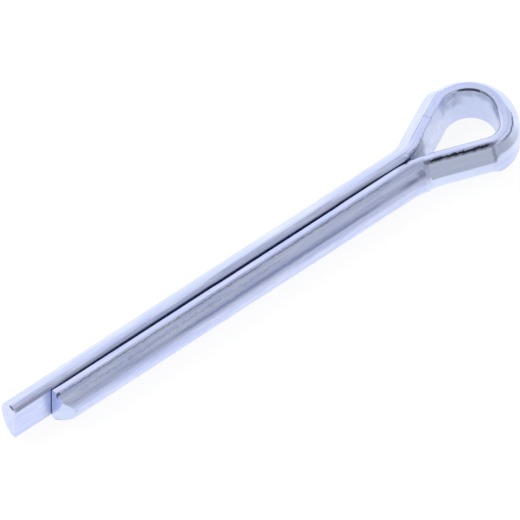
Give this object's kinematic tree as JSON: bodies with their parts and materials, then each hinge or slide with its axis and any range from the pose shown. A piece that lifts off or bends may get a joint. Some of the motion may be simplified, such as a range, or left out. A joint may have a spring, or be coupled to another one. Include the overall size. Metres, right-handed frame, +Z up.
{
  "type": "cotter pin",
  "caption": "Split cotter pin of folded half-round steel wire: two straight legs that meet along their flat sides, one longer than the other, and a pressed lopsided eye.",
  "frame": {"origin": "on the shank's axis, where the long leg starts to bend into the eye", "axes": "+X along the shank towards the eye, +Y towards the long leg's side, +Z up, at right angles to the plane that the wire was folded in"},
  "size_m": [0.0557, 0.0096, 0.0042],
  "materials": {
    "wire": "bright zinc-plated steel with draw lines and press marks"
  },
  "bodies": {
    "root": {"pin": "wire"}
  },
  "joints": []
}
